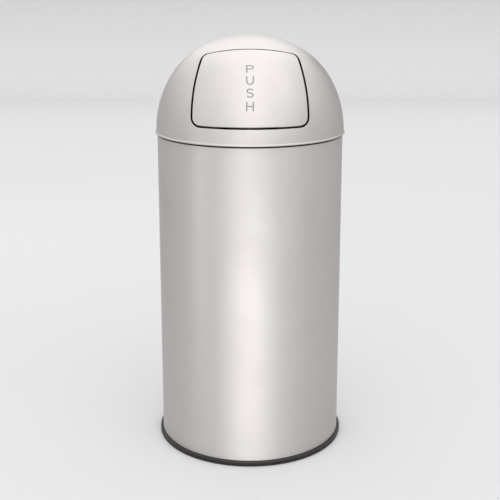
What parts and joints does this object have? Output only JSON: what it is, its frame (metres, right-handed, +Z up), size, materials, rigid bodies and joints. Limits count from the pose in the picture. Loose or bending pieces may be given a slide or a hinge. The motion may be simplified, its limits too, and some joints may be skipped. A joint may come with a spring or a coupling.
{
  "type": "dome top waste receptacle",
  "caption": "Round free-standing steel waste can with a lift-off dome, a sprung push flap, a lift-out liner with a bail, and a black foot ring.",
  "frame": {"origin": "on the floor, on the can's vertical axis", "axes": "+Z up along the can's axis; the push flap faces -Y; the flap's hinge line runs along X"},
  "size_m": [0.34, 0.34, 0.74],
  "materials": {
    "satin_steel": "satin, very fine even grain",
    "plain_steel": "dull mill finish",
    "galvanised_steel": "hot-dip zinc with faint spangle",
    "black_plastic": "semi-matt moulded",
    "zinc_wire": "bright zinc plate",
    "grip_plastic": "matt sleeve",
    "bright_steel": "ground and plated",
    "rivet_alloy": "satin",
    "nylon": "natural",
    "spring_steel": "oil-tempered wire",
    "rubber": "matt"
  },
  "bodies": {
    "can": {"body_shell": "satin_steel", "bottom_plate": "plain_steel", "base_ring": "black_plastic"},
    "liner": {"liner_wall": "galvanised_steel", "liner_bottom": "galvanised_steel", "bail_lug_left": "galvanised_steel", "bail_lug_right": "galvanised_steel", "lug_rivets": "rivet_alloy"},
    "bail": {"bail_wire": "zinc_wire", "bail_grip": "grip_plastic"},
    "dome": {"dome_shell": "satin_steel", "dome_collar": "plain_steel", "hinge_bracket_left": "plain_steel", "hinge_bracket_right": "plain_steel", "hinge_rod": "bright_steel", "rod_clips": "bright_steel", "hinge_spacers": "nylon", "spring_left": "spring_steel", "spring_right": "spring_steel"},
    "flap": {"flap_panel": "satin_steel", "hinge_arm_left": "plain_steel", "hinge_arm_right": "plain_steel", "stop_tab_left": "plain_steel", "stop_tab_right": "plain_steel", "stop_buffers": "rubber"}
  },
  "joints": [
    {"name": "liner_lift", "type": "slide", "parent": "can", "child": "liner", "axis": [0, 0, 1], "range_m": [0, 0.58]},
    {"name": "bail_swing", "type": "hinge", "parent": "liner", "child": "bail", "pos_m": [0, 0, 0.5413], "axis": [1, 0, 0], "range_deg": [0, 180]},
    {"name": "dome_lift", "type": "slide", "parent": "liner", "child": "dome", "axis": [0, 0, 1], "range_m": [0, 0.12]},
    {"name": "flap_swing", "type": "hinge", "parent": "dome", "child": "flap", "pos_m": [0, -0.06398, 0.709], "axis": [1, 0, 0], "range_deg": [0, 60], "stiffness_Nm_per_rad": 0.4, "springref_deg": -57.3, "deforming": ["spring_left", "spring_right"]}
  ]
}
